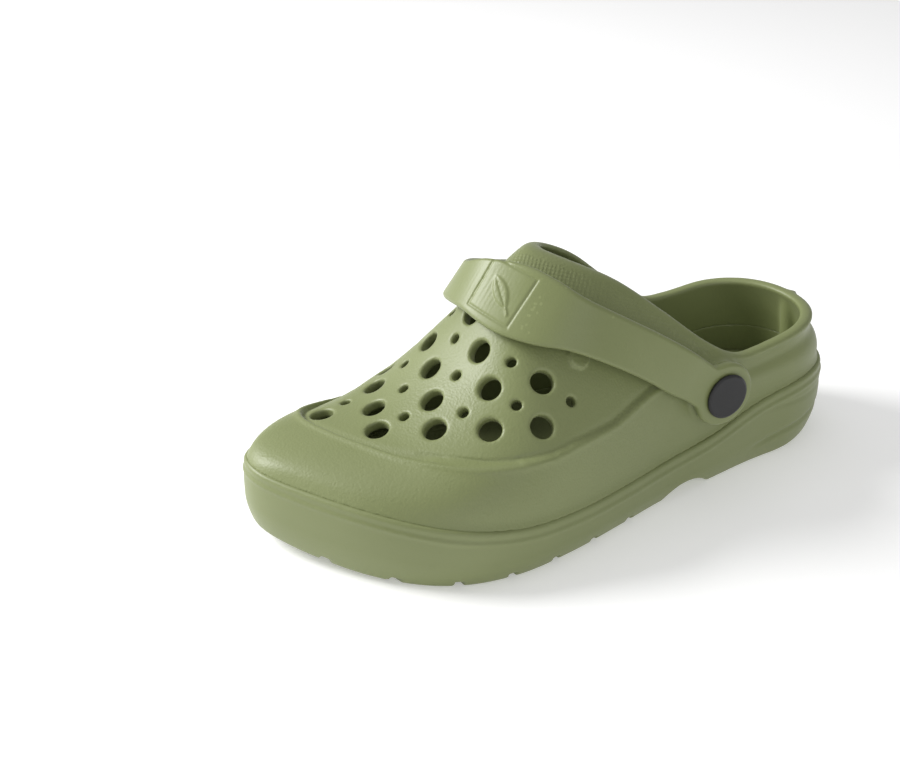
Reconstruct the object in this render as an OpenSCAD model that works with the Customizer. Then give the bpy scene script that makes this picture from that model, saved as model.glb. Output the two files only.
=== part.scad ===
// Rubber garden clog for the left foot: foam upper and cup sole, loose
// footbed pad, and a swinging heel strap held by a rivet on each side.
// X runs from heel to toe, +Y is the outer side of the foot, Z = 0 is the ground.

/* [Shoe] */
// Length from the back of the heel to the tip of the toe
shoe_length = 290; // [285:1:295]
// Wall thickness of the upper
wall = 4.5; // [4:0.25:5]
// Flat ledge of the sole that shows around the foot of the upper
ledge = 2; // [1.5:0.25:2.5]
// How far the toe guard stands proud of the vamp above it
guard_step = 1.5; // [1:0.25:2]
// How far the top of the heel leans forward
heel_lean = 8; // [6:1:9]
// Thickness of the loose footbed pad
pad_thickness = 3.5; // [3:0.5:4]

/* [Vent holes] */
// Radius of the large vent holes
large_vent_r = 5; // [4.5:0.25:6]
// Radius of the small vent holes
small_vent_r = 2.25; // [2:0.25:3]

/* [Tread] */
// Depth of the tread grooves
groove_depth = 3; // [2:0.5:4]
// Width of the tread grooves
groove_width = 3.5; // [3:0.5:4]
// Height of the arch recess between heel block and forefoot
arch_height = 4; // [3:0.5:4]

/* [Heel strap] */
// Thickness of the strap
strap_thickness = 4.5; // [4:0.25:5]
// How far the strap flares beyond its arms, each way, where it crosses the instep
strap_flare = 7; // [6:0.5:7]
// Width of the strap's arms in front of the rivets
arm_width = 21; // [19:1:22]
// Radius of the round eye at the end of each arm
eye_r = 15; // [14:0.5:15]
// Angle of the strap above the ground when it lies forward on the instep
strap_rest = 31; // [31:1:34]

/* [Rivets] */
// Distance of the rivets from the back of the heel
rivet_x = 88; // [86:1:90]
// Height of the rivets above the ground
rivet_z = 48; // [47:1:49]
// Radius of the rivet shank
shank_r = 4; // [3.5:0.25:4]
// Radius of the outer button
button_r = 10.5; // [10:0.5:11]
// Radius of the cap inside the shoe
cap_r = 8; // [7:0.5:8]
// Radial gap between the rivet shank and whatever it passes through
running_gap = 0.05; // [0.03:0.01:0.08]

/* [Hidden] */

foam_green = [0.55, 0.58, 0.38];
button_black = [0.08, 0.08, 0.09];

// The lists below hold one value for every tenth of the length, from heel to toe.
half_width = [37, 39, 41, 44, 47, 52.5, 57.5, 60.5, 58, 49, 33];
centre_line = [-2, -3, -3, -1.5, 0, 2, 4, 4.5, 1.5, -5, -15];
crease_height = [38, 37, 32.5, 25.5, 22, 21, 21.5, 24, 28.5, 34, 38];
crest_height = [108, 108.5, 109, 110, 112, 115, 105, 71, 53, 47, 46];
guard_height = [70, 70, 70, 62.5, 56.5, 51.5, 50, 48.5, 48, 46.5, 46.5];
crest_shift = [0, 0, 0, -2, -7, -13.5, -10.5, -9, -5, -7, 0];
fullness = [2.6, 2.6, 2.5, 2.4, 2.4, 2.6, 3, 2.6, 2.2, 2.25, 3];
vamp_arch = [2, 2, 2, 2, 2, 2, 1.55, 2.4, 1.65, 1.65, 2];
footbed_height = [22, 20, 18, 16, 15, 14, 13, 13, 14, 17, 21];

// Side profile of the collar's rim, from the back of the heel to the tongue
collar_rim = [[-20, 64], [10, 64], [35, 62], [60, 59], [74, 60], [90, 69],
  [108, 84], [126, 98], [144, 107], [160, 113]];

// Inner lines of the strap's lower and upper edge, seen square on, from the
// outer eye over the instep to the inner eye: distance from the rivets, distance
// across the foot, then the share of the flare by which the edge stands out
strap_low = [[6, 42, 0], [13, 42, 0], [20, 42, -0.1], [29, 42.6, -0.2], [46, 41, -0.4],
  [66, 38.5, -0.4], [83, 33.5, -0.15], [95, 25, 0.55], [104, 11, 1], [108, -7, 0.9],
  [104, -26, 1.1], [94, -39, 1], [80, -46, 0.7], [64, -48.5, 0.3], [46, -49, 0],
  [28, -48.4, 0], [19, -46.7, 0], [13, -46, 0], [6, -46, 0]];
strap_high = [[6, 42, 0], [13, 42, 0], [20, 42, 0.1], [29, 41.6, 0.2], [46, 37.5, 0.3],
  [66, 32.5, 0.3], [82, 27, 0.3], [92, 18, 0.45], [100, 6, 0.35], [106, -9, -0.4],
  [104, -23, -1.3], [94, -34, -1.2], [79, -40, -0.8], [64, -44, -0.3], [46, -46.5, 0],
  [28, -47.2, 0], [19, -46.5, 0], [13, -46, 0], [6, -46, 0]];

// Vent holes: distance from the heel, then angle over the instep with 0 at the
// outer crease, 90 at the crest and 180 at the inner crease
large_vents = [[253, 114], [234, 101], [240, 82], [225, 123], [208, 96], [216, 78],
  [222, 64], [188, 94], [194, 72], [198, 54], [205, 42], [200, 118], [178, 36],
  [185, 24], [213, 138], [187, 140]];
small_vents = [[240, 120], [220, 100], [228, 82], [196, 95], [204, 76], [210, 58],
  [211, 120], [187, 52], [192, 38], [168, 24], [200, 137], [227, 140], [188, 119]];
peg = [158, 34];

heel_round = 0.145;
toe_round = 0.26;
toe_drop = 0.1;
tip_half = 4;
sole_inset = 3;
sole_bulge = 1;
foot_inset = sole_bulge + ledge;
heel_spring = 10;
heel_spring_run = 45;
toe_spring = 8;
toe_spring_run = 60;
collar_full = 26;
below = 8;
pad_gap = 0.6;
stations = 30;
guard_rows = 3;
vamp_rows = 6;
tall = 150;
wide = 200;
row_centre = 4.25;
outer_face = 42;
inner_face = -46;
face_gap = 0.4;
pad_r = 14;
button_height = 2;
button_edge = 1;
cap_height = 2;
shoe_wall_at_rivet = 6.5;
arch_r = 20;
arch_x = 105;
groove_first = 28;
groove_pitch = 22;
strap_plan_steps = 3;
peg_height = 1.2;
cut_depth = 16;
guard_share = 0.95;

function tenth(list, f) =
  let (n = len(list) - 1,
    k = min(n - 1, floor(f * n)),
    u = f * n - k,
    a = list[k],
    b = list[k + 1],
    ma = (b - list[max(0, k - 1)]) / (k == 0 ? 1 : 2),
    mb = (list[min(n, k + 2)] - a) / (k + 2 > n ? 1 : 2))
  a * (2 * u * u * u - 3 * u * u + 1) + ma * (u * u * u - 2 * u * u + u)
  + b * (3 * u * u - 2 * u * u * u) + mb * (u * u * u - u * u);

function nose(d, p) = d >= 1 ? 0 : pow(1 - pow(max(0, d), p), 1 / p);
function ends(f) = nose((heel_round - f) / heel_round, 2.2)
  * nose((f - 1 + toe_round) / toe_round, 2.3);
function step_fraction(i) = (1 - cos(180 * i / stations)) / 2;
function along(f, inset) = inset + f * (shoe_length - 2 * inset);
function half(f, inset) = max(tip_half, (tenth(half_width, f) - inset) * ends(f));
function crest(f, drop) = tenth(crease_height, f)
  + (tenth(crest_height, f) - drop - tenth(crease_height, f)) * nose((f - 1 + toe_drop) / toe_drop, 2.2);
function lean(f, z) = heel_lean * max(0, 1 - 5 * f)
  * pow(min(1.2, max(0, (z - crease_height[0]) / collar_full)), 1.5);

// The angle over the instep where the steep guard band ends and the vamp starts
function guard_angle(f) =
  let (low = tenth(crease_height, f),
    share = min(guard_share, (tenth(guard_height, f) - low) / (crest(f, 0) - low)))
  asin(pow(share, tenth(fullness, f) / 2));

// A point on the moulded form: fraction of the length, angle over the instep,
// inset of the wall and drop of the crest. The guard band follows a full curve
// and the vamp a flatter arch from the top of the band to the crest.
function skin(f, angle, inset, drop) =
  let (n = tenth(fullness, f),
    from_side = min(angle, 180 - angle),
    turn = guard_angle(f),
    band = min(from_side, turn),
    over = max(0, from_side - turn) / (90 - turn),
    low = tenth(crease_height, f),
    high = crest(f, drop),
    z_band = low + (high - low) * pow(sin(band), 2 / n),
    z = z_band + (high - z_band) * (1 - pow(1 - over, tenth(vamp_arch, f))),
    reach = (angle > 90 ? -1 : 1) * (1 - over) * pow(cos(band), 2 / n),
    rise = (z - low) / max(1, high - low))
  [along(f, inset) + lean(f, z),
    tenth(centre_line, f) + tenth(crest_shift, f) * pow(rise, 1.5) + half(f, inset) * reach,
    z];

function step_in(f, step) = step * min(1, max(0, 4 * f - 1));

function side_angles(f) = concat(
  [for (k = [0:guard_rows]) guard_angle(f) * k / guard_rows],
  [for (k = [0:vamp_rows]) guard_angle(f) + 2 + (88 - guard_angle(f)) * k / vamp_rows]);

function form_ring(f, inset, drop, step, base) =
  let (angles = side_angles(f),
    last = len(angles) - 1,
    all_angles = concat(angles, [for (k = [last - 1:-1:0]) 180 - angles[k]]),
    pts = [for (k = [0:len(all_angles) - 1])
      let (above = k > guard_rows && k < len(all_angles) - 1 - guard_rows,
        more = above ? step_in(f, step) : 0)
      skin(f, all_angles[k], inset + more, drop + more)])
  concat([[pts[0][0], pts[0][1], base]], pts, [[pts[0][0], pts[len(pts) - 1][1], base]]);

function flat(rings) = [for (r = rings) each r];

// Closes a run of equal rings into a solid; each ring's points pair off left
// and right, so the end faces are level strips
module skin_solid(rings) {
  m = len(rings[0]);
  n = len(rings);
  sides = [for (i = [0:n - 2], j = [0:m - 1]) each [
    [i * m + j, (i + 1) * m + (j + 1) % m, i * m + (j + 1) % m],
    [i * m + j, (i + 1) * m + j, (i + 1) * m + (j + 1) % m]]];
  half_count = floor((m - 1) / 2);
  first = [for (j = [0:half_count - 1])
    j + 1 == m - 2 - j ? [j, j + 1, m - 1 - j] : [j, j + 1, m - 2 - j, m - 1 - j]];
  last = [for (j = [0:half_count - 1]) let (o = (n - 1) * m)
    j + 1 == m - 2 - j ? [o + j, o + m - 1 - j, o + j + 1]
      : [o + j, o + m - 1 - j, o + m - 2 - j, o + j + 1]];
  polyhedron(points = flat(rings), faces = concat(sides, first, last), convexity = 6);
}

module form(inset, drop, step, base) {
  skin_solid([for (i = [0:stations]) form_ring(step_fraction(i), inset, drop, step, base)]);
}

// The space above a height profile, drawn in side view and run across the shoe
module above(list, lift) {
  line = [for (i = [0:stations]) [along(step_fraction(i), 0), tenth(list, step_fraction(i)) + lift]];
  edge = line[len(line) - 1][1];
  side_solid(concat([[-below, line[0][1]]], line, [[shoe_length + below, edge],
    [shoe_length + below, tall], [-below, tall]]));
}

module side_solid(outline) {
  translate([0, wide / 2, 0]) rotate([90, 0, 0]) linear_extrude(wide) polygon(outline);
}

function curve(pts, steps) = concat([for (i = [0:len(pts) - 2], s = [0:steps - 1])
  let (u = s / steps,
    a = pts[i],
    b = pts[i + 1],
    ma = (b - pts[max(0, i - 1)]) / (i == 0 ? 1 : 2),
    mb = (pts[min(len(pts) - 1, i + 2)] - a) / (i + 2 > len(pts) - 1 ? 1 : 2))
  a * (2 * u * u * u - 3 * u * u + 1) + ma * (u * u * u - 2 * u * u + u)
  + b * (3 * u * u - 2 * u * u * u) + mb * (u * u * u - u * u)], [pts[len(pts) - 1]]);

module place() {
  translate([-shoe_length / 2, -row_centre, 0]) children();
}

module foot_cavity() {
  intersection() {
    form(wall + foot_inset, wall, 0, below);
    above(footbed_height, 0);
  }
}

module collar_opening() {
  rim = curve(collar_rim, 3);
  side_solid(concat(rim, [[collar_rim[len(collar_rim) - 1][0], tall], [collar_rim[0][0], tall]]));
}

// Stands children on the moulded form, pointing straight out of it
module on_skin(spot) {
  f = spot[0] / shoe_length;
  p = skin(f, spot[1], foot_inset + guard_step, guard_step);
  along_x = skin(f + 0.005, spot[1], foot_inset, 0) - skin(f - 0.005, spot[1], foot_inset, 0);
  across = skin(f, spot[1] + 1, foot_inset, 0) - skin(f, spot[1] - 1, foot_inset, 0);
  out = cross(across, along_x);
  translate(p) rotate([0, acos(-out[2] / norm(out)), atan2(-out[1], -out[0])]) children();
}

module at_rivets() {
  translate([rivet_x, 0, rivet_z]) children();
}

// A cylinder that runs across the shoe between two distances from its middle
module across_pin(r, from, to) {
  translate([0, from, 0]) rotate([-90, 0, 0]) cylinder(r = r, h = to - from, $fn = 64);
}

module rivet_pads() {
  at_rivets() {
    across_pin(pad_r, outer_face - face_gap - shoe_wall_at_rivet, outer_face - face_gap);
    across_pin(pad_r, inner_face + face_gap, inner_face + face_gap + shoe_wall_at_rivet);
  }
}

module cap_seats() {
  at_rivets() {
    across_pin(cap_r + 1, 0, outer_face - face_gap - shoe_wall_at_rivet);
    across_pin(cap_r + 1, inner_face + face_gap + shoe_wall_at_rivet, 0);
  }
}

module upper_shell() {
  difference() {
    intersection() {
      union() {
        form(foot_inset, 0, guard_step, below);
        rivet_pads();
        on_skin(peg) cylinder(r = large_vent_r, h = 2 * peg_height, center = true, $fn = 48);
      }
      above(crease_height, 0);
    }
    foot_cavity();
    collar_opening();
    cap_seats();
  }
}

module upper() {
  color(foam_green) place() difference() {
    resize([shoe_length - 2 * foot_inset, 0, 0]) upper_shell();
    at_rivets() across_pin(shank_r + running_gap, -wide / 2, wide / 2);
    for (v = large_vents) on_skin(v) cylinder(r = large_vent_r, h = cut_depth, center = true, $fn = 48);
    for (v = small_vents) on_skin(v) cylinder(r = small_vent_r, h = cut_depth, center = true, $fn = 32);
  }
}

function spring(x) = heel_spring * pow(max(0, 1 - x / heel_spring_run), 1.8)
  + toe_spring * pow(max(0, (x - shoe_length + toe_spring_run) / toe_spring_run), 2.25);

function sole_ring(f) =
  let (low = spring(along(f, 0)),
    high = tenth(crease_height, f),
    y = tenth(centre_line, f),
    levels = [[sole_inset, low], [sole_bulge, low + 0.2 * (high - low)],
      [0, low + 0.45 * (high - low)], [sole_bulge, high + below]],
    right = [for (v = levels) [along(f, v[0]), y + half(f, v[0]), v[1]]],
    left = [for (k = [len(levels) - 1:-1:0]) let (v = levels[k]) [along(f, v[0]), y - half(f, v[0]), v[1]]])
  concat(right, left);

module tread() {
  for (k = [0:11])
    if (abs(groove_first + k * groove_pitch - arch_x) > arch_r)
      translate([groove_first + k * groove_pitch, -wide / 2, -below]) cube([groove_width, wide, below + groove_depth]);
  translate([arch_x, 0, arch_height - arch_r]) across_pin(arch_r, -wide / 2, wide / 2);
}

module outsole() {
  color(foam_green) place() resize([shoe_length, 0, 0]) difference() {
    skin_solid([for (i = [0:stations]) sole_ring(step_fraction(i))]);
    above(crease_height, 0);
    foot_cavity();
    tread();
  }
}

module insole() {
  rim = [for (i = [1:stations - 1]) step_fraction(i)];
  inset = wall + foot_inset + pad_gap;
  outline = concat(
    [for (f = rim) [along(f, inset), tenth(centre_line, f) + half(f, inset)]],
    [for (k = [len(rim) - 1:-1:0]) let (f = rim[k]) [along(f, inset), tenth(centre_line, f) - half(f, inset)]]);
  color(foam_green) place() difference() {
    intersection() {
      linear_extrude(tall) polygon(outline);
      above(footbed_height, 0);
    }
    above(footbed_height, pad_thickness);
  }
}

// One edge of the strap as points in the strap's own plane, offset outwards
// from the foot, each with its share of the flare
function strap_edge(line, out) = let (p = curve(line, strap_plan_steps), n = len(p))
  [for (i = [0:n - 1])
    let (d = p[min(n - 1, i + 1)] - p[max(0, i - 1)])
    p[i] + out * [-d[1], d[0], 0] / norm([d[0], d[1]])];

function strap_ring(i, edges) =
  [for (k = [0:3])
    let (p = edges[k][i], h = arm_width / 2 + strap_flare * p[2])
    [p[0], p[1], k == 0 || k == 3 ? -h : h]];

module strap_band() {
  edges = [strap_edge(strap_low, strap_thickness), strap_edge(strap_high, strap_thickness),
    strap_edge(strap_high, 0), strap_edge(strap_low, 0)];
  skin_solid([for (i = [0:len(edges[0]) - 1]) strap_ring(i, edges)]);
}

module heel_strap() {
  color(foam_green) place() at_rivets() difference() {
    union() {
      rotate([0, -strap_rest, 0]) strap_band();
      across_pin(eye_r, outer_face, outer_face + strap_thickness);
      across_pin(eye_r, inner_face - strap_thickness, inner_face);
    }
    across_pin(shank_r + running_gap, -wide / 2, wide / 2);
  }
}

// Rivet button with its shank, standing on the outside of the strap's eye
module rivet_button(face, side) {
  reach = shoe_wall_at_rivet + face_gap + strap_thickness + face_gap / 2 + cap_height;
  translate([0, face, 0]) rotate([-90 * side, 0, 0]) translate([0, 0, strap_thickness + face_gap / 2]) {
    rotate_extrude($fn = 72) polygon([[0, 0], [button_r, 0], [button_r, button_height - button_edge],
      [button_r - button_edge, button_height], [0, button_height]]);
    translate([0, 0, -reach]) cylinder(r = shank_r, h = reach + 0.5, $fn = 64);
  }
}

// Washer-like cap that the shank snaps into on the inside of the shoe
module rivet_cap(face, side) {
  translate([0, face, 0]) rotate([-90 * side, 0, 0])
    translate([0, 0, -face_gap - shoe_wall_at_rivet - cap_height]) difference() {
      cylinder(r = cap_r, h = cap_height, $fn = 64);
      translate([0, 0, -1]) cylinder(r = shank_r + running_gap, h = cap_height + 2, $fn = 64);
    }
}

module rivet_button_lateral() {
  color(button_black) place() at_rivets() rivet_button(outer_face, 1);
}

module rivet_button_medial() {
  color(button_black) place() at_rivets() rivet_button(inner_face, -1);
}

module rivet_cap_lateral() {
  color(button_black) place() at_rivets() rivet_cap(outer_face, 1);
}

module rivet_cap_medial() {
  color(button_black) place() at_rivets() rivet_cap(inner_face, -1);
}

outsole();
upper();
insole();
heel_strap();
rivet_button_lateral();
rivet_button_medial();
rivet_cap_lateral();
rivet_cap_medial();
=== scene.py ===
import math
import bmesh
import bpy
import numpy as np
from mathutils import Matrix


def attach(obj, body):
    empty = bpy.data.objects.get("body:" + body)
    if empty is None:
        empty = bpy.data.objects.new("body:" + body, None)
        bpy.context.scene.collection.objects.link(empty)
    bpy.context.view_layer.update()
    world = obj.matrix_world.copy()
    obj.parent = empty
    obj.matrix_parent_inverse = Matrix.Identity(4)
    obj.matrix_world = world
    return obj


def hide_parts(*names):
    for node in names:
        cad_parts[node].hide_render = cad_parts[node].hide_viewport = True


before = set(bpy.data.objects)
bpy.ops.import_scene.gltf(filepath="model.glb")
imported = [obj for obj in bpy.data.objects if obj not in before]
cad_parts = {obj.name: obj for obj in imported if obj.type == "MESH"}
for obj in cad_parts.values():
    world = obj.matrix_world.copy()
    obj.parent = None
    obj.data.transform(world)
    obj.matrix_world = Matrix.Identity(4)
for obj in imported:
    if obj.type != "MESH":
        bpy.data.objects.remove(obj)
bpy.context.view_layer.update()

import openvdb as vdb
from mathutils import Vector

# Millimetres from the back of the heel, +Y to the outer side, until the last
# step, which moves every mesh into the part's own frame in metres.
LENGTH = 290.0
ROW_CENTRE = 4.25
FOOT_INSET = 3.0
GUARD_STEP = 1.5
RIDGE_TUBE = 0.8
HEEL_LEAN = 8.0
PAD = 3.5
SHELL = 5.0
RIVET = (88.0, 48.0)
OUTER_FACE = 42.0
INNER_FACE = -46.0
FACE_GAP = 0.4
RIVET_WALL = 6.5
BOSS_RADIUS = 14
SEAT_RADIUS = 9
STRAP_THICK = 4.5
STRAP_REST = 31.0
STRAP_FLARE = 7.0
EYE_RADIUS = 15.0
EYE_HOLE = 4.4
STRAP_CORNER = 1.7
BADGE_AT = 116.0
BADGE_HALF = 11.4
GROOVE_PITCH = 22
GROOVE_HALF = 1.75
GROOVE_DEPTH = 3

SPAN = np.linspace(0, 1, 1001)


def tenth(values):
    """A smooth table over the length from one value for every tenth of it."""
    v = np.array(values, float)
    n = len(v) - 1
    k = np.minimum(n - 1, np.floor(SPAN * n)).astype(int)
    u = SPAN * n - k
    a, b = v[k], v[k + 1]
    ma = (b - v[np.maximum(0, k - 1)]) / np.where(k == 0, 1, 2)
    mb = (v[np.minimum(n, k + 2)] - a) / np.where(k + 2 > n, 1, 2)
    return (a * (2 * u**3 - 3 * u**2 + 1) + ma * (u**3 - 2 * u**2 + u)
            + b * (3 * u**2 - 2 * u**3) + mb * (u**3 - u**2))


HALF_WIDTH = tenth([37, 39, 41, 44, 47, 52.5, 57.5, 60.5, 58, 49, 33])
CENTRE_LINE = tenth([-2, -3, -3, -1.5, 0, 2, 4, 4.5, 1.5, -5, -15])
CREASE = tenth([38, 37, 32.5, 25.5, 22, 21, 21.5, 24, 28.5, 34, 38])
CREST = tenth([108, 108.5, 109, 110, 112, 115, 105, 71, 53, 47, 46])
GUARD = tenth([70, 70, 70, 62.5, 56.5, 51.5, 50, 48.5, 48, 46.5, 46.5])
CREST_SHIFT = tenth([0, 0, 0, -2, -7, -13.5, -10.5, -9, -5, -7, 0])
FULLNESS = tenth([2.6, 2.6, 2.5, 2.4, 2.4, 2.6, 3, 2.6, 2.2, 2.25, 3])
VAMP_ARCH = tenth([2, 2, 2, 2, 2, 2, 1.55, 2.4, 1.65, 1.65, 2])
FOOTBED = tenth([22, 20, 18, 16, 15, 14, 13, 13, 14, 17, 21])
RIM = [(-20, 64), (10, 64), (35, 62), (60, 59), (74, 60), (90, 69), (108, 84),
       (126, 98), (144, 107), (160, 113)]
RIDGE = [(60, 24), (90, 23), (120, 19), (150, 12.5), (176, 12), (190, 17), (205, 27),
         (216, 35.5), (224, 43), (232, 51), (243, 63), (254, 81), (260, 101), (260, 119),
         (255, 136), (244, 150), (228, 160), (205, 166), (176, 168), (150, 168), (120, 163),
         (90, 159), (60, 156)]
LARGE_VENTS = [(253, 114), (234, 101), (240, 82), (225, 123), (208, 96), (216, 78),
               (222, 64), (188, 94), (194, 72), (198, 54), (205, 42), (200, 118), (178, 36),
               (185, 24), (213, 138), (187, 140)]
SMALL_VENTS = [(240, 120), (220, 100), (228, 82), (196, 95), (204, 76), (210, 58),
               (211, 120), (187, 52), (192, 38), (168, 24), (200, 137), (227, 140), (188, 119)]
PEG = (158, 34)
VENTS = ((LARGE_VENTS, 5.0, 1.3), (SMALL_VENTS, 2.25, 0.8))  # places, radius, rounding
STRAP_LOW = [(6, 42, 0), (13, 42, 0), (20, 42, -0.1), (29, 42.6, -0.2), (46, 41, -0.4),
             (66, 38.5, -0.4), (83, 33.5, -0.15), (95, 25, 0.55), (104, 11, 1), (108, -7, 0.9),
             (104, -26, 1.1), (94, -39, 1), (80, -46, 0.7), (64, -48.5, 0.3), (46, -49, 0),
             (28, -48.4, 0), (19, -46.7, 0), (13, -46, 0), (6, -46, 0)]
STRAP_HIGH = [(6, 42, 0), (13, 42, 0), (20, 42, 0.1), (29, 41.6, 0.2), (46, 37.5, 0.3),
              (66, 32.5, 0.3), (82, 27, 0.3), (92, 18, 0.45), (100, 6, 0.35), (106, -9, -0.4),
              (104, -23, -1.3), (94, -34, -1.2), (79, -40, -0.8), (64, -44, -0.3), (46, -46.5, 0),
              (28, -47.2, 0), (19, -46.5, 0), (13, -46, 0), (6, -46, 0)]


def at(table, f):
    return np.interp(f, SPAN, table)


def nose(d, p):
    return np.maximum(0, 1 - np.clip(d, 0, 1) ** p) ** (1 / p)


def half(f, inset):
    ends = nose((0.145 - f) / 0.145, 2.2) * nose((f - 0.74) / 0.26, 2.3)
    return np.maximum(1, (at(HALF_WIDTH, f) - inset) * ends)


def along(f, inset):
    return inset + f * (LENGTH - 2 * inset)


def skin(f, angle, inset, drop=0.0):
    """A point of the moulded form, as in the CAD model: a full curve up to the
    guard line, then a flatter arch over the vamp."""
    f, angle = np.asarray(f, float), np.asarray(angle, float)
    n, low = at(FULLNESS, f), at(CREASE, f)
    tip = nose((f - 0.9) / 0.1, 2.2)
    share = np.minimum(0.95, (at(GUARD, f) - low) / np.maximum(1e-6, (at(CREST, f) - low) * tip))
    turn = np.degrees(np.arcsin(share ** (n / 2)))
    from_side = np.minimum(angle, 180 - angle)
    band = np.radians(np.minimum(from_side, turn))
    past = np.clip((from_side - turn) / (90 - turn), 0, 1)
    high = low + (at(CREST, f) - drop - low) * tip
    z_band = low + (high - low) * np.sin(band) ** (2 / n)
    z = z_band + (high - z_band) * (1 - (1 - past) ** at(VAMP_ARCH, f))
    reach = np.where(angle > 90, -1, 1) * (1 - past) * np.cos(band) ** (2 / n)
    rise = (z - low) / np.maximum(1, high - low)
    lean = HEEL_LEAN * np.maximum(0, 1 - 5 * f) * np.clip((z - 38) / 26, 0, 1.2) ** 1.5
    y = at(CENTRE_LINE, f) + at(CREST_SHIFT, f) * rise**1.5 + half(f, inset) * reach
    return np.stack(np.broadcast_arrays(along(f, inset) + lean, y, z), -1)


def curve(points, steps):
    """Smooth curve through points, the same rule as in the CAD model."""
    p = np.array(points, float)
    out = []
    for i in range(len(p) - 1):
        ma = (p[i + 1] - p[max(0, i - 1)]) / (1 if i == 0 else 2)
        mb = (p[min(len(p) - 1, i + 2)] - p[i]) / (1 if i + 2 > len(p) - 1 else 2)
        for u in np.arange(steps) / steps:
            out.append(p[i] * (2 * u**3 - 3 * u**2 + 1) + ma * (u**3 - 2 * u**2 + u)
                       + p[i + 1] * (3 * u**2 - 2 * u**3) + mb * (u**3 - u**2))
    return np.array(out + [p[-1]])


def cut(a, b, r):
    """Intersection of two distance fields, with the edge rounded to radius r."""
    return (np.minimum(np.maximum(a + r, b + r), 0) - r
            + np.hypot(np.maximum(a + r, 0), np.maximum(b + r, 0)))


def join(a, b, r):
    return -cut(-a, -b, r)


def bump(v, middle, width):
    return np.exp(-(((v - middle) / width) ** 2))


def ramp(v, a, b):
    t = np.clip((v - a) / (b - a), 0, 1)
    return t * t * (3 - 2 * t)


def soften(field, times):
    """Averages a field with its neighbours to take out the loft's small creases."""
    for _ in range(times):
        for axis in range(3):
            inner = np.moveaxis(field, axis, 0)
            inner[1:-1] = 0.25 * inner[:-2] + 0.5 * inner[1:-1] + 0.25 * inner[2:]
    return field


class Grid:
    """A box of cells that distance fields are worked out on."""

    def __init__(self, low, high, step):
        self.step = step
        self.first = [int(math.floor(v / step)) for v in low]
        self.shape = [int(math.ceil(h / step)) - a + 1 for h, a in zip(high, self.first)]
        axes = [(a + np.arange(n)) * step for a, n in zip(self.first, self.shape)]
        self.x = axes[0].astype(np.float32)[:, None, None]
        self.y = axes[1].astype(np.float32)[None, :, None]
        self.z = axes[2].astype(np.float32)[None, None, :]

    def solid(self, rings, band):
        """Distance field of the closed solid through equal rings of points."""
        n, m, _ = rings.shape
        i, j = np.meshgrid(np.arange(n - 1), np.arange(m), indexing="ij")
        quads = np.stack([i * m + j, (i + 1) * m + j, (i + 1) * m + (j + 1) % m,
                          i * m + (j + 1) % m], -1).reshape(-1, 4)
        k = np.arange(m)
        last = (n - 1) * m
        caps = np.concatenate([np.stack([k, (k + 1) % m, np.full(m, n * m)], -1),
                               np.stack([last + (k + 1) % m, last + k, np.full(m, n * m + 1)], -1)])
        points = np.concatenate([rings.reshape(-1, 3), [rings[0].mean(0), rings[-1].mean(0)]])
        grid = vdb.FloatGrid.createLevelSetFromPolygons(
            points.astype(np.float32), triangles=caps.astype(np.uint32),
            quads=quads.astype(np.uint32),
            transform=vdb.createLinearTransform(voxelSize=self.step), halfWidth=band / self.step)
        field = np.zeros(self.shape, np.float32)
        grid.copyToArray(field, ijk=tuple(self.first))
        return field

    def surface(self, field):
        """Points and four-sided faces of a field's zero surface."""
        edge = 3 * self.step
        grid = vdb.FloatGrid(edge)
        grid.transform = vdb.createLinearTransform(voxelSize=self.step)
        grid.copyFromArray(np.clip(field, -edge, edge).astype(np.float32), ijk=tuple(self.first))
        points, quads = grid.convertToQuads(isovalue=0)
        return np.array(points, np.float64), np.array(quads, np.int64)

    def sample(self, field, points):
        """Field values at points, from the nearest cell."""
        idx = [np.clip(np.rint(points[:, a] / self.step).astype(int) - self.first[a], 0,
                       self.shape[a] - 1) for a in range(3)]
        return np.broadcast_to(field, self.shape)[idx[0], idx[1], idx[2]]

    def window(self, centre, reach):
        """Slices of the cells within reach of a point."""
        out = []
        for a in range(3):
            lo = int(math.floor((centre[a] - reach) / self.step)) - self.first[a]
            hi = int(math.ceil((centre[a] + reach) / self.step)) - self.first[a] + 1
            out.append(slice(max(0, lo), min(self.shape[a], hi)))
        return tuple(out)


def make_object(name, points, quads, place):
    """Mesh object in the part's frame; place turns the points into frame metres."""
    p = place(points)
    a, b, c, d = (p[quads[:, i]] for i in range(4))
    volume = (np.einsum("ij,ij->i", a, np.cross(b, c)).sum()
              + np.einsum("ij,ij->i", a, np.cross(c, d)).sum())
    if volume < 0:
        quads = quads[:, ::-1]
    mesh = bpy.data.meshes.new(name)
    mesh.vertices.add(len(p))
    mesh.vertices.foreach_set("co", p.astype(np.float32).ravel())
    mesh.loops.add(quads.size)
    mesh.loops.foreach_set("vertex_index", quads.astype(np.int32).ravel())
    mesh.polygons.add(len(quads))
    mesh.polygons.foreach_set("loop_start", np.arange(0, quads.size, 4, dtype=np.int32))
    mesh.update(calc_edges=True)
    mesh.validate()
    mesh.polygons.foreach_set("use_smooth", np.ones(len(mesh.polygons), bool))
    obj = bpy.data.objects.new(name, mesh)
    bpy.context.scene.collection.objects.link(obj)
    return obj


def paint(obj, name, values):
    """Stores one number per point of a mesh for its material to read."""
    layer = obj.data.attributes.new(name, "FLOAT", "POINT")
    layer.data.foreach_set("value", np.ascontiguousarray(values, dtype=np.float32))


def to_frame(points):
    return (points - [LENGTH / 2, ROW_CENTRE, 0]) / 1000


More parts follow.
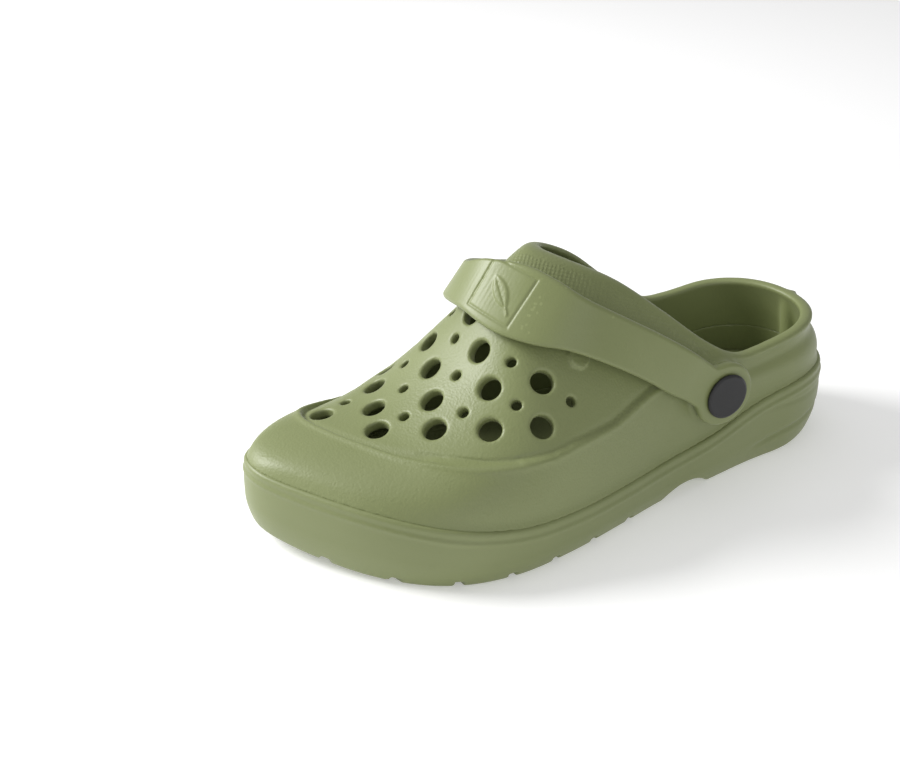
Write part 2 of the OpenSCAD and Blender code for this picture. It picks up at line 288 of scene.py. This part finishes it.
def on_skin(spot):
    """A vent's place on the form and the direction straight out of it."""
    f, angle = spot[0] / LENGTH, spot[1]
    p = skin(f, angle, FOOT_INSET + GUARD_STEP, GUARD_STEP)
    run = skin(f + 0.005, angle, FOOT_INSET) - skin(f - 0.005, angle, FOOT_INSET)
    across = skin(f, angle + 1, FOOT_INSET) - skin(f, angle - 1, FOOT_INSET)
    out = np.cross(run, across)
    return p, out / np.linalg.norm(out)


# ---------------------------------------------------------------- the moulded form
STEP = 0.75
g = Grid((-6, -66, -4), (296, 74, 122), STEP)
stations = (1 - np.cos(np.pi * np.arange(181) / 180)) / 2
angles = np.linspace(0, 180, 91)
rings = skin(stations[:, None], angles[None, :], FOOT_INSET)
floor_level = np.array([1, 1, 0]) * rings[:, [0, -1]] + np.array([0, 0, -14])
rings = np.concatenate([floor_level[:, :1], rings, floor_level[:, 1:]], 1)
form = soften(g.solid(rings, 20), 6)

f_of_x = np.clip(g.x / LENGTH, 0, 1)
crease, footbed = (at(t, f_of_x).astype(np.float32) for t in (CREASE, FOOTBED))

rim_line = curve(RIM, 12)
to_rim = g.z - np.interp(g.x, rim_line[:, 0], rim_line[:, 1])
flat = np.stack(np.broadcast_arrays(g.x[:, 0, :], g.z[0]), -1)
gap = np.full(flat.shape[:2], 1e9)
for a, b in zip(rim_line[:-1], rim_line[1:]):
    t = np.clip(((flat - a) @ (b - a)) / ((b - a) @ (b - a)), 0, 1)
    gap = np.minimum(gap, np.hypot(*np.moveaxis(flat - a - t[..., None] * (b - a), -1, 0)))
rim = (np.sign(to_rim[:, 0]) * gap).astype(np.float32)[:, None, :]


def rod(grid, r, low, high):
    """Distance field of a cylinder across the shoe at the rivets."""
    away = np.hypot(grid.x - RIVET[0], grid.z - RIVET[1]) - r
    ends = np.abs(grid.y - (low + high) / 2) - (high - low) / 2
    return cut(away, ends, 0.2)


# -------------------------------------------------------------------------- upper
step_mask = np.clip(4 * f_of_x - 1, 0, 1)
ridge_plan = curve(RIDGE, 12)
ridge_line = skin(ridge_plan[:, 0] / LENGTH, ridge_plan[:, 1], FOOT_INSET)
run = np.gradient(ridge_line, axis=0)
run /= np.linalg.norm(run, axis=1)[:, None]
side_way = np.cross(run, [0, 0, 1])
side_way /= np.linalg.norm(side_way, axis=1)[:, None]
up_way = np.cross(side_way, run)
turn = np.radians(np.arange(0, 360, 60))
ring = side_way[:, None] * np.cos(turn)[:, None] + up_way[:, None] * np.sin(turn)[:, None]
away = g.solid(ridge_line[:, None] + RIDGE_TUBE * ring, 8) + RIDGE_TUBE
tip = int(np.argmax(ridge_line[:, 0]))
x_line = g.x[:, 0, 0]
outer_half, inner_half = ridge_line[:tip], ridge_line[:tip - 1:-1]
(outer_y, outer_z), (inner_y, inner_z) = (
    [np.interp(x_line, line[:, 0], line[:, k])[:, None, None] for k in (1, 2)]
    for line in (outer_half, inner_half))
inside = (g.x < ridge_line[tip, 0]) & (g.y < outer_y) & (g.y > inner_y)
higher = g.z > np.where(g.y > (outer_y + inner_y) / 2, outer_z, inner_z)
by_plan = ramp(g.x, 205, 240)
over = away * (by_plan * np.where(inside, 1, -1) + (1 - by_plan) * np.where(higher, 1, -1))
over = soften(over.astype(np.float32), 2)
front = ramp(g.x, 60, 120)
relief = -GUARD_STEP * step_mask * ramp(over, -0.4, 1.6)
relief = relief + front * (0.6 * bump(over, -1.6, 1.4) - 0.6 * bump(over, 2.2, 1.6))
foot = np.clip(1 - (g.z - crease) / 4.5, 0, 1)
relief = relief + 1.2 * foot**2.2
rear = 1 - ramp(g.x, 62, 105)
relief = relief + rear * (1.0 * bump(rim, -1.2, 2.4) - 1.5 * bump(rim, -8, 4.0)
                          + 0.9 * bump(g.z, 45, 6))
outer = form - relief
upper = np.maximum(outer, -(form + SHELL + 1.4 * step_mask * ramp(over, -2, 3)))
outer_seat, inner_seat = OUTER_FACE - FACE_GAP - RIVET_WALL, INNER_FACE + FACE_GAP + RIVET_WALL
bosses = np.minimum(rod(g, BOSS_RADIUS, outer_seat, OUTER_FACE - FACE_GAP),
                    rod(g, BOSS_RADIUS, INNER_FACE + FACE_GAP, inner_seat))
upper = join(upper, bosses, 3)
upper = cut(upper, rim, 2.3)
seats = np.minimum(rod(g, SEAT_RADIUS, 0, outer_seat), rod(g, SEAT_RADIUS, inner_seat, 0))
upper = cut(upper, -seats, 0.5)


def spot_field(spot, reach):
    p, out = on_skin(spot)
    w = g.window(p, reach)
    dx, dy, dz = g.x[w[0]] - p[0], g.y[:, w[1]] - p[1], g.z[:, :, w[2]] - p[2]
    rise = dx * out[0] + dy * out[1] + dz * out[2]
    away = np.sqrt(np.maximum(dx**2 + dy**2 + dz**2 - rise**2, 0))
    return w, rise, away


for spots, r, lip in VENTS:
    for spot in spots:
        w, rise, away = spot_field(spot, r + 8)
        hole = np.maximum(away - r, np.abs(rise) - 9)
        upper[w] = cut(upper[w], -hole, lip)
w, rise, away = spot_field(PEG, 12)
upper[w] = join(upper[w], cut(away - 5, np.abs(rise) - 1.3, 0.5), 0.5)
upper = np.maximum(upper, crease - 0.6 - g.z)
points, quads = g.surface(upper)
upper_obj = make_object("Upper", points, quads, to_frame)
from_rim = g.sample(rim, points)
on_outside = ramp(g.sample(form, points), -3.6, -2.6)
paint(upper_obj, "band", on_outside * ramp(from_rim, -24, -23) * (1 - ramp(from_rim, -3.5, -2.5))
      * ramp(points[:, 0], 84, 92))
paint(upper_obj, "grain", on_outside * ramp(points[:, 0], 95, 150))
paint(upper_obj, "inside", 1 - on_outside)

# ------------------------------------------------------------------------ outsole
box_rings = np.zeros((len(stations), 4, 3))
side = half(stations, 0)
mid = at(CENTRE_LINE, stations)
for k, (s, z) in enumerate(((1, -14), (1, 70), (-1, 70), (-1, -14))):
    box_rings[:, k] = np.stack([along(stations, 0), mid + s * side, np.full(len(side), z)], -1)
wall = g.solid(box_rings, 12)
spring = (10 * np.clip(1 - g.x / 45, 0, 1) ** 1.8
          + 8 * np.clip((g.x - 230) / 60, 0, 1) ** 2.25)
share = (g.z - spring) / (crease - spring)
inset = (3.0 * np.clip(1 - share / 0.42, 0, 1) ** 1.8
         + 0.7 * np.clip((share - 0.6) / 0.4, 0, 1) ** 1.5)
seam = crease - 5.2 - g.z
wall = wall + inset - 0.5 * bump(seam, 0, 0.8) + 0.3 * bump(seam, -1.7, 1.0)
heel_part = 1 - ramp(g.x, 38, 62)
wall = wall + 0.5 * heel_part * bump(g.z, 27, 1.0)
slant = g.z - (9 + 0.14 * np.clip(66 - g.x, 0, 80))
wall = wall + 1.0 * (1 - ramp(g.x, 50, 66)) * bump(slant, 0, 1.3)
outsole = cut(wall, g.z - crease, 1.7)
outsole = cut(outsole, spring - g.z, 1.8)
cavity = cut(form + SHELL, footbed - g.z, 2.5)
outsole = np.maximum(outsole, -cavity)

# tread: wavy grooves across the sole, closed at the heel's sides and left out
# at the arch, one wide notch at the toe, and the hollow of the arch
wave = 1.6 * np.sin(g.y / 9.0) * ramp(45 - np.abs(g.y), 0, 12)
for start in range(28, 28 + 12 * GROOVE_PITCH, GROOVE_PITCH):
    if abs(start - 105) > 20:
        slot = np.maximum(np.abs(g.x + wave - start - GROOVE_HALF) - GROOVE_HALF,
                          g.z - GROOVE_DEPTH - spring * 0.9)
        if start < 130:
            slot = np.maximum(slot, wall + 6)
        outsole = cut(outsole, -slot, 0.5)
notch = np.maximum(np.maximum(np.abs(g.x - 277) - 5, g.z - 10), np.abs(g.y + 12) - 9)
outsole = cut(outsole, -notch, 0.8)
arch = np.hypot(g.x - 103, g.z + 14) - 20.5
outsole = cut(outsole, -arch, 1.0)
points, quads = g.surface(outsole)
sole_obj = make_object("Outsole", points, quads, to_frame)

# ------------------------------------------------------------------------- insole
pad_top = footbed + PAD
edge = form + SHELL + 0.5
line = 0.6 * bump(edge, -9.5, 0.9)
insole = cut(edge, g.z - pad_top + line, 1.3)
insole = np.maximum(insole, footbed + 0.3 - g.z)
points, quads = g.surface(insole)
insole_obj = make_object("Footbed_pad", points, quads, to_frame)

# -------------------------------------------------------------------------- strap
s = Grid((-18, -58, -21), (118, 54, 21), 0.45)
low, high = curve(STRAP_LOW, 9), curve(STRAP_HIGH, 9)


def outwards(line):
    d = np.gradient(line[:, :2], axis=0)
    return np.stack([-d[:, 1], d[:, 0]], -1) / np.linalg.norm(d, axis=1)[:, None]


def edge_half(line):
    """Reach of one edge from the strap's middle plane, with the round eye and its neck."""
    u = line[:, 0]
    arm = 9.8 + 0.7 * ramp(u, 16, 34) + STRAP_FLARE * line[:, 2]
    eye = np.sqrt(np.maximum(0, EYE_RADIUS**2 - u**2))
    blend = np.clip(0.5 + 0.5 * (eye - arm) / 2.5, 0, 1)
    return arm * (1 - blend) + eye * blend + 2.5 * blend * (1 - blend)


down, up = edge_half(low), edge_half(high)
low, high = low[:, :2], high[:, :2]
width, centre = (down + up) / 2, (up - down) / 2
arc = np.radians(np.arange(0, 91, 15))
outline = []
for cx, cy, turn in ((1, 1, 0), (-1, 1, 90), (-1, -1, 180), (1, -1, 270)):
    for t in arc + math.radians(turn):
        outline.append((cx, cy, math.cos(t), math.sin(t)))
outline = np.array(outline)
h = outline[None, :, 0] * (width[:, None] - STRAP_CORNER) + STRAP_CORNER * outline[None, :, 2]
t = (STRAP_THICK / 2 + outline[:, 1] * (STRAP_THICK / 2 - STRAP_CORNER)
     + STRAP_CORNER * outline[:, 3])
mix = (h / width[:, None] + 1)[..., None] / 2
n_low, n_high = outwards(low), outwards(high)
base = low[:, None] * (1 - mix) + high[:, None] * mix
lift = n_low[:, None] * (1 - mix) + n_high[:, None] * mix
plan = base + lift * t[None, :, None]
strap_rings = np.stack([plan[..., 0], plan[..., 1], h + centre[:, None]], -1)
strap = s.solid(strap_rings, 5)
for near, far in ((OUTER_FACE, OUTER_FACE + STRAP_THICK),
                  (INNER_FACE - STRAP_THICK, INNER_FACE)):
    disc = np.hypot(s.x, s.z) - EYE_RADIUS
    eye = cut(disc, np.abs(s.y - (near + far) / 2) - (far - near) / 2, STRAP_CORNER)
    strap = np.minimum(strap, eye)
hole = np.maximum(np.hypot(s.x, s.z) - EYE_HOLE, 38 - np.abs(s.y))
strap = cut(strap, -hole, 0.3)

# square badge with a plain leaf, moulded into the strap over the instep
middle = (low + high) / 2 + (n_low + n_high) / 2 * STRAP_THICK
run = np.concatenate([[0], np.cumsum(np.linalg.norm(np.diff(middle, axis=0), axis=1))])
here = int(np.searchsorted(run, BADGE_AT))
way_out = outwards(middle)[here]
way_on = np.array([way_out[1], -way_out[0]])
dx, dy = s.x - middle[here, 0], s.y - middle[here, 1]
p, depth = dx * way_on[0] + dy * way_on[1], dx * way_out[0] + dy * way_out[1]
q = s.z + 1.5 + 0.0 * p
slope = (np.gradient(strap, s.step, axis=0) * way_out[0]
         + np.gradient(strap, s.step, axis=1) * way_out[1])
face = ramp(slope, -0.2, 0.2) * ramp(depth, -18, -16)
edge_line = np.maximum(np.abs(p), np.abs(q)) - BADGE_HALF
badge = -0.45 * bump(edge_line, 0, 0.5)
c, sn = math.cos(math.radians(38)), math.sin(math.radians(38))
lp, lq = p * c + q * sn, -p * sn + q * c
leaf = np.maximum(np.hypot(lp, lq - 8.2), np.hypot(lp, lq + 8.2)) - 11.6
vein = bump(lq, 0, 0.45) * ramp(8.5 - np.abs(lp), 0, 1)
stem = np.maximum(np.abs(lq + 0.05 * (lp + 8) ** 2) - 0.55, np.abs(lp + 9.3) - 2.2)
raised = np.maximum(ramp(-leaf, -0.3, 0.9), ramp(-stem, -0.2, 0.5))
badge = badge + 0.55 * raised - 0.4 * vein * ramp(-leaf, 0, 1)
strap = strap - badge * face * ramp(14 - np.abs(p), 0, 1)
points, quads = s.surface(strap)
tilt = math.radians(STRAP_REST)


def strap_to_frame(points):
    turned = np.stack([points[:, 0] * math.cos(tilt) - points[:, 2] * math.sin(tilt) + RIVET[0],
                       points[:, 1],
                       points[:, 0] * math.sin(tilt) + points[:, 2] * math.cos(tilt) + RIVET[1]], -1)
    return to_frame(turned)


strap_obj = make_object("Heel_strap", points, quads, strap_to_frame)

# ------------------------------------------------------------------------- rivets
def lathe(name, profile, face, side, count=96):
    """A turned piece on the rivet's axis, from (radius, height) points."""
    turn = np.linspace(0, 2 * np.pi, count, endpoint=False)
    verts, faces = [], []
    for r, z in profile:
        for a in turn:
            verts.append((RIVET[0] + r * math.cos(a), face + side * z, RIVET[1] + r * math.sin(a)))
    for i in range(len(profile) - 1):
        for j in range(count):
            k = (j + 1) % count
            faces.append((i * count + j, i * count + k, (i + 1) * count + k, (i + 1) * count + j))
    faces.append(tuple(range(count)))
    faces.append(tuple((len(profile) - 1) * count + j for j in reversed(range(count))))
    mesh = bpy.data.meshes.new(name)
    mesh.from_pydata([tuple(v) for v in to_frame(np.array(verts))], [], faces)
    mesh.update()
    bm = bmesh.new()
    bm.from_mesh(mesh)
    bmesh.ops.recalc_face_normals(bm, faces=bm.faces)
    bm.to_mesh(mesh)
    bm.free()
    mesh.polygons.foreach_set("use_smooth", [len(f.vertices) == 4 for f in mesh.polygons])
    obj = bpy.data.objects.new(name, mesh)
    bpy.context.scene.collection.objects.link(obj)
    return obj


def arc_points(cx, cz, r, a, b, n):
    return [(cx + r * math.cos(math.radians(t)), cz + r * math.sin(math.radians(t)))
            for t in np.linspace(a, b, n)]


button_base = STRAP_THICK + FACE_GAP / 2
reach = RIVET_WALL + FACE_GAP + button_base + 2
button_profile = ([(0.3, -reach + button_base), (4, -reach + button_base),
                   (4, button_base), (9.6, button_base)]
                  + arc_points(9.6, button_base + 0.9, 0.9, -90, 20, 7)
                  + arc_points(9.3, button_base + 1.0, 0.75, 40, 90, 5)
                  + [(8.2, button_base + 1.72), (6, button_base + 1.8), (3, button_base + 1.88),
                     (0.3, button_base + 1.9)])
cap_z = -FACE_GAP - RIVET_WALL
cap_profile = ([(0.3, cap_z), (7.6, cap_z)] + arc_points(7.3, cap_z - 1.2, 0.7, 0, -90, 5)
               + [(5, cap_z - 1.95), (4.4, cap_z - 1.7), (0.3, cap_z - 1.7)])
rivets = {}
for tag, face, sgn in (("lateral", OUTER_FACE, 1), ("medial", INNER_FACE, -1)):
    rivets["rivet_button_" + tag] = lathe("Rivet_button_" + tag, button_profile, face, sgn)
    rivets["rivet_cap_" + tag] = lathe("Rivet_cap_" + tag, cap_profile, face, sgn)


# ---------------------------------------------------------------------- materials
class Nodes:
    """Short names for building a node material."""

    def __init__(self, name):
        self.material = bpy.data.materials.new(name)
        self.material.use_nodes = True
        self.tree = self.material.node_tree
        self.shader = self.tree.nodes["Principled BSDF"]
        self.coords = self.tree.nodes.new("ShaderNodeTexCoord").outputs["Object"]

    def put(self, kind, **settings):
        node = self.tree.nodes.new(kind)
        for key, value in settings.items():
            if hasattr(node, key):
                setattr(node, key, value)
        return node

    def feed(self, socket, value):
        if isinstance(value, bpy.types.NodeSocket):
            self.tree.links.new(value, socket)
        else:
            socket.default_value = value

    def maths(self, op, a, b=0.0, c=None, clamp=False):
        node = self.put("ShaderNodeMath", operation=op, use_clamp=clamp)
        self.feed(node.inputs[0], a)
        self.feed(node.inputs[1], b)
        if c is not None:
            self.feed(node.inputs[2], c)
        return node.outputs[0]

    def noise(self, scale, detail=2.0, rough=0.5, distortion=0.0):
        node = self.put("ShaderNodeTexNoise")
        self.feed(node.inputs["Vector"], self.coords)
        self.feed(node.inputs["Scale"], scale)
        self.feed(node.inputs["Detail"], detail)
        self.feed(node.inputs["Roughness"], rough)
        self.feed(node.inputs["Distortion"], distortion)
        return node.outputs["Fac"]

    def cells(self, scale, smooth=0.6):
        node = self.put("ShaderNodeTexVoronoi", feature="SMOOTH_F1")
        self.feed(node.inputs["Vector"], self.coords)
        self.feed(node.inputs["Scale"], scale)
        self.feed(node.inputs["Smoothness"], smooth)
        return node.outputs["Distance"]

    def attribute(self, name):
        return self.put("ShaderNodeAttribute", attribute_name=name).outputs["Fac"]

    def fit(self, value, a, b, low, high):
        node = self.put("ShaderNodeMapRange")
        self.feed(node.inputs["Value"], value)
        for key, v in (("From Min", a), ("From Max", b), ("To Min", low), ("To Max", high)):
            self.feed(node.inputs[key], v)
        return node.outputs["Result"]

    def blend(self, factor, a, b):
        node = self.put("ShaderNodeMix", data_type="RGBA")
        self.feed(node.inputs[0], factor)
        self.feed(node.inputs[6], a)
        self.feed(node.inputs[7], b)
        return node.outputs[2]

    def along(self, direction, pitch):
        """A wave that repeats every pitch metres along a direction."""
        node = self.put("ShaderNodeVectorMath", operation="DOT_PRODUCT")
        self.feed(node.inputs[0], self.coords)
        size = 2 * math.pi / pitch
        node.inputs[1].default_value = [size * d for d in direction]
        return self.maths("SINE", node.outputs["Value"])

    def height(self, value, distance, strength=1.0, below=None):
        node = self.put("ShaderNodeBump")
        self.feed(node.inputs["Height"], value)
        self.feed(node.inputs["Distance"], distance)
        self.feed(node.inputs["Strength"], strength)
        if below is not None:
            self.feed(node.inputs["Normal"], below)
        return node.outputs["Normal"]


OLIVE = (0.196, 0.226, 0.088, 1)
PALE = (0.235, 0.266, 0.116, 1)
DEEP = (0.158, 0.186, 0.064, 1)


def foam(name, grain, bands=False, tone=1.0, rough=0.46):
    m = Nodes(name)
    clouds = m.noise(14, 3, 0.55)
    fine = m.noise(260, 3, 0.6)
    dark = tuple(v * tone for v in OLIVE[:3]) + (1,)
    light = tuple(v * tone for v in PALE[:3]) + (1,)
    colour = m.blend(m.fit(clouds, 0.35, 0.7, 0.0, 0.45), dark, light)
    specks = m.fit(fine, 0.6, 0.85, 0.0, 0.25)
    colour = m.blend(specks, colour, tuple(v * tone for v in DEEP[:3]) + (1,))
    # convex edges painted lighter from pointiness: partly wear, partly a painted highlight along the
    # edges
    edge = m.put("ShaderNodeNewGeometry").outputs["Pointiness"]
    wear_and_edge_highlight = m.fit(edge, 0.52, 0.62, 0.0, 0.5)
    colour = m.blend(wear_and_edge_highlight, colour, tuple(v * tone * 1.22 for v in PALE[:3]) + (1,))
    m.feed(m.shader.inputs["Base Color"], colour)
    pores = m.cells(950, 0.75)
    soft = m.noise(620, 3, 0.6, 0.3)
    pebble = m.maths("ADD", m.maths("MULTIPLY", pores, 0.8), soft)
    if grain == "painted":
        amount = m.fit(m.attribute("grain"), 0, 1, 0.35, 1.0)
    else:
        amount = grain
    normal = m.height(m.maths("MULTIPLY", pebble, amount), 0.00013, 0.8)
    if bands:
        waves = [m.along(d, 0.0017)
                 for d in ((0.58, 0.58, 0.58), (0.71, -0.71, 0.0), (0.41, 0.41, -0.82))]
        rise = m.maths("ADD", m.maths("ADD", waves[0], waves[1]), waves[2])
        checks = m.maths("MULTIPLY", m.fit(rise, -1.2, 1.6, 0, 1), m.attribute("band"))
        normal = m.height(checks, 0.00022, 0.8, normal)
    m.feed(m.shader.inputs["Normal"], normal)
    m.feed(m.shader.inputs["Roughness"], m.fit(clouds, 0.3, 0.7, rough - 0.03, rough + 0.06))
    m.shader.inputs["Specular IOR Level"].default_value = 0.55
    m.shader.inputs["Sheen Weight"].default_value = 0.08
    m.shader.inputs["Sheen Roughness"].default_value = 0.4
    return m.material


def black_plastic():
    m = Nodes("Rivet_black")
    fine = m.noise(700, 4, 0.6)
    clouds = m.noise(90, 3, 0.6)
    colour = m.blend(m.fit(clouds, 0.3, 0.7, 0, 1),
                     (0.016, 0.016, 0.017, 1), (0.026, 0.026, 0.027, 1))
    m.feed(m.shader.inputs["Base Color"], colour)
    m.feed(m.shader.inputs["Roughness"], m.fit(clouds, 0.3, 0.7, 0.42, 0.56))
    m.feed(m.shader.inputs["Normal"], m.height(fine, 0.00006, 0.7))
    m.shader.inputs["Specular IOR Level"].default_value = 0.4
    return m.material


looks = {
    "upper": (upper_obj, "clog", foam("Upper_foam", "painted", bands=True), "upper_foam"),
    "outsole": (sole_obj, "clog", foam("Sole_foam", 0.3, tone=0.98, rough=0.44), "sole_foam"),
    "insole": (insole_obj, "clog", foam("Footbed_foam", 0.7, tone=1.02, rough=0.55), "footbed_foam"),
    "heel_strap": (strap_obj, "strap", foam("Strap_foam", 0.35, rough=0.43), "strap_foam"),
}
black = black_plastic()
for node, obj in rivets.items():
    looks[node] = (obj, "clog", black, "rivet_black")
for node, (obj, body, material, slot) in looks.items():
    obj.data.materials.append(material)
    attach(obj, body)
    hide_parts(node)

# -------------------------------------------------------------- floor, light, camera
def plain(name, colour, rough):
    m = Nodes(name)
    tone = m.fit(m.noise(3, 2, 0.5), 0.3, 0.7, 0.0, 1.0)
    m.feed(m.shader.inputs["Base Color"],
           m.blend(tone, colour, tuple(v * 0.99 for v in colour[:3]) + (1,)))
    m.shader.inputs["Roughness"].default_value = rough
    m.shader.inputs["Specular IOR Level"].default_value = 0.1
    m.shader.inputs["Emission Color"].default_value = (1, 1, 1, 1)
    m.shader.inputs["Emission Strength"].default_value = 0.3
    return m.material


mesh = bpy.data.meshes.new("Floor")
mesh.from_pydata([(-6, -6, 0), (6, -6, 0), (6, 6, 0), (-6, 6, 0)], [], [(0, 1, 2, 3)])
floor = bpy.data.objects.new("Floor", mesh)
floor.data.materials.append(plain("Floor_white", (0.86, 0.86, 0.86, 1), 0.8))
bpy.context.scene.collection.objects.link(floor)


def look_at(obj, target):
    obj.rotation_euler = (Vector(target) - obj.location).to_track_quat("-Z", "Y").to_euler()


def area_light(name, location, size, power, colour=(1, 1, 1)):
    data = bpy.data.lights.new(name, "AREA")
    data.shape = "DISK"
    data.size = size
    data.energy = power
    data.color = colour
    obj = bpy.data.objects.new(name, data)
    obj.location = location
    look_at(obj, (0, 0, 0.04))
    bpy.context.scene.collection.objects.link(obj)
    return obj


area_light("Key", (0.95, -0.80, 0.85), 0.7, 25)
area_light("Top", (0.1, -0.3, 1.6), 1.4, 3)
area_light("Fill", (0.2, 1.5, 0.6), 1.4, 5)
world = bpy.context.scene.world or bpy.data.worlds.new("World")
bpy.context.scene.world = world
world.use_nodes = True
world.node_tree.nodes["Background"].inputs["Color"].default_value = (1, 1, 1, 1)
world.node_tree.nodes["Background"].inputs["Strength"].default_value = 0.36

azimuth, elevation, distance = math.radians(151.6), math.radians(27.6), 0.607
target = (0.0419, -0.03075, 0.045)
camera = bpy.data.objects.new("Camera", bpy.data.cameras.new("Camera"))
camera.location = (target[0] + distance * math.sin(azimuth) * math.cos(elevation),
                   target[1] - distance * math.cos(azimuth) * math.cos(elevation),
                   target[2] + distance * math.sin(elevation))
look_at(camera, target)
camera.data.sensor_width = 36
camera.data.lens = 53.52
bpy.context.scene.collection.objects.link(camera)
bpy.context.scene.camera = camera
bpy.context.scene.view_settings.view_transform = "Standard"
